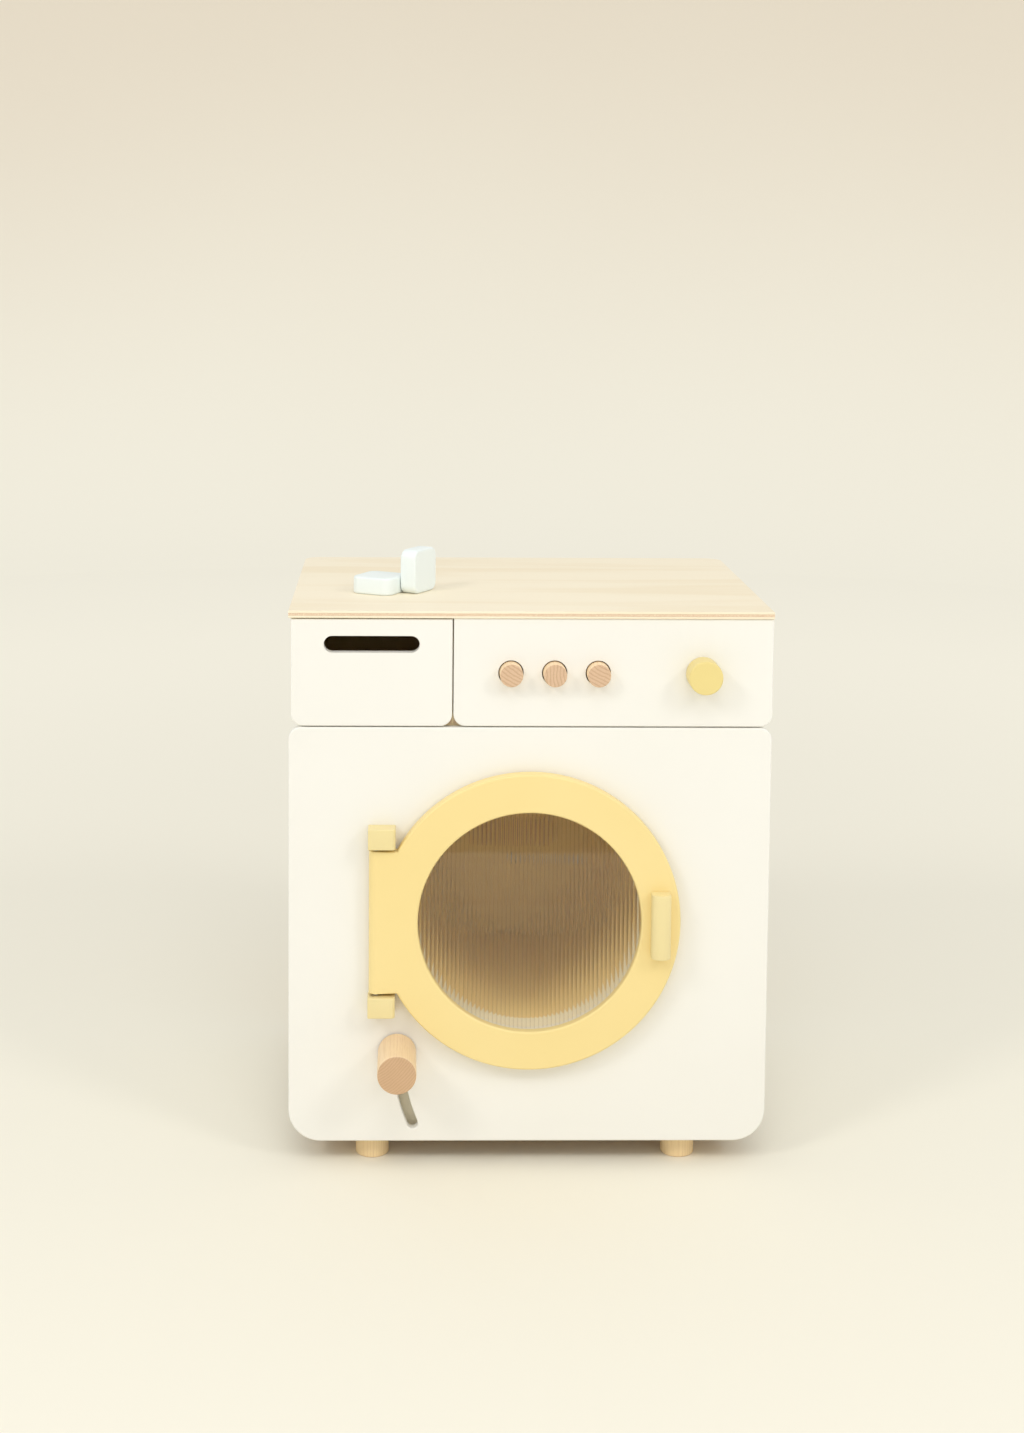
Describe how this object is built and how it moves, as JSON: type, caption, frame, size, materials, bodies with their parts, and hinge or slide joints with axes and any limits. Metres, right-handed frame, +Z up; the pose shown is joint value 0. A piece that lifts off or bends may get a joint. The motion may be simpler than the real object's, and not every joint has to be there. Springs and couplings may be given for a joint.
{
  "type": "toy washing machine",
  "caption": "Wooden toy washing machine with a hinged round door and ribbed window, a turning drum, side lever, drawer, push buttons and a dial.",
  "frame": {"origin": "centre of the footprint on the floor, under the feet", "axes": "+Z up, the front with the door faces -Y, +X to the right of someone who looks at the front"},
  "size_m": [0.4, 0.351, 0.508],
  "materials": {
    "cream_paint": "satin paint on board",
    "yellow_paint": "satin paint on board",
    "birch_ply": "clear matt lacquer, ply edges bare",
    "beech": "clear matt lacquer",
    "steel": "bright zinc",
    "clear_ribbed": "clear, fine upright ribs",
    "mint_paint": "satin paint"
  },
  "bodies": {
    "cabinet": {"top_board": "birch_ply", "side_panel_left": "cream_paint", "side_panel_right": "cream_paint", "bottom_panel": "birch_ply", "back_panel": "birch_ply", "shelf": "birch_ply", "compartment_divider": "birch_ply", "inner_front_board": "cream_paint", "front_spacers": "birch_ply", "front_panel": "cream_paint", "mouth_ring": "cream_paint", "control_panel": "cream_paint", "button_rail": "birch_ply", "bearing_post": "birch_ply", "feet": "beech", "foot_screws": "steel", "carcass_screws": "steel", "back_screws": "steel", "drawer_runners": "beech", "hinge_block_upper": "yellow_paint", "hinge_block_lower": "yellow_paint", "hinge_pins": "steel", "catch_magnet": "steel", "drum_axle": "steel", "axle_cap": "beech", "button_1_spring": "steel", "button_2_spring": "steel", "button_3_spring": "steel"},
    "door": {"door_panel": "yellow_paint", "door_pane": "clear_ribbed", "pane_ring": "cream_paint", "pane_ring_screws": "steel", "door_handle": "yellow_paint", "handle_screws": "steel", "door_magnet": "steel"},
    "drawer": {"drawer_front": "cream_paint", "drawer_side_left": "birch_ply", "drawer_side_right": "birch_ply", "drawer_back": "birch_ply", "drawer_bottom": "birch_ply"},
    "first_button": {"button_1": "beech", "button_1_collar": "beech"},
    "second_button": {"button_2": "beech", "button_2_collar": "beech"},
    "third_button": {"button_3": "beech", "button_3_collar": "beech"},
    "dial": {"dial_knob": "yellow_paint", "dial_spindle": "steel", "dial_retainer": "beech"},
    "lever": {"lever_knob": "beech", "lever_shank": "steel", "lever_arm": "birch_ply", "rocker_shaft": "beech", "crank_arm": "birch_ply", "crank_peg": "steel"},
    "drum": {"drum_shell": "birch_ply", "drum_back": "birch_ply", "drum_hub": "beech"},
    "flat_tablet": {"tablet_lying": "mint_paint"},
    "upright_tablet": {"tablet_standing": "mint_paint"}
  },
  "joints": [
    {"name": "door_hinge", "type": "hinge", "parent": "cabinet", "child": "door", "pos_m": [-0.127, -0.1315, 0.2115], "axis": [0, 0, -1], "range_deg": [0, 110]},
    {"name": "drawer_slide", "type": "slide", "parent": "cabinet", "child": "drawer", "axis": [0, -1, 0], "range_m": [0, 0.14]},
    {"name": "button_1_press", "type": "slide", "parent": "cabinet", "child": "first_button", "axis": [0, 1, 0], "range_m": [0, 0.008], "stiffness_N_per_m": 300, "springref_m": -0.004, "deforming": ["button_1_spring"]},
    {"name": "button_2_press", "type": "slide", "parent": "cabinet", "child": "second_button", "axis": [0, 1, 0], "range_m": [0, 0.008], "stiffness_N_per_m": 300, "springref_m": -0.004, "deforming": ["button_2_spring"]},
    {"name": "button_3_press", "type": "slide", "parent": "cabinet", "child": "third_button", "axis": [0, 1, 0], "range_m": [0, 0.008], "stiffness_N_per_m": 300, "springref_m": -0.004, "deforming": ["button_3_spring"]},
    {"name": "dial_turn", "type": "hinge", "parent": "cabinet", "child": "dial", "pos_m": [0.1415, -0.1245, 0.4185], "axis": [0, -1, 0], "continuous": true},
    {"name": "lever_swing", "type": "hinge", "parent": "cabinet", "child": "lever", "pos_m": [0.05777, -0.1245, 0.10041], "axis": [0, -1, 0], "range_deg": [0, 21.9]},
    {"name": "drum_turn", "type": "hinge", "parent": "cabinet", "child": "drum", "pos_m": [0, -0.1245, 0.2115], "axis": [0, -1, 0], "range_deg": [-42.7, 0]},
    {"name": "tablet_lift_1", "type": "slide", "parent": "cabinet", "child": "flat_tablet", "axis": [0, 0, 1], "range_m": [0, 0.08]},
    {"name": "tablet_lift_2", "type": "slide", "parent": "cabinet", "child": "upright_tablet", "axis": [0, 0, 1], "range_m": [0, 0.08]}
  ],
  "couplings": [
    {"joint": "drum_turn", "follows": "lever_swing", "ratio": -1.9437}
  ]
}
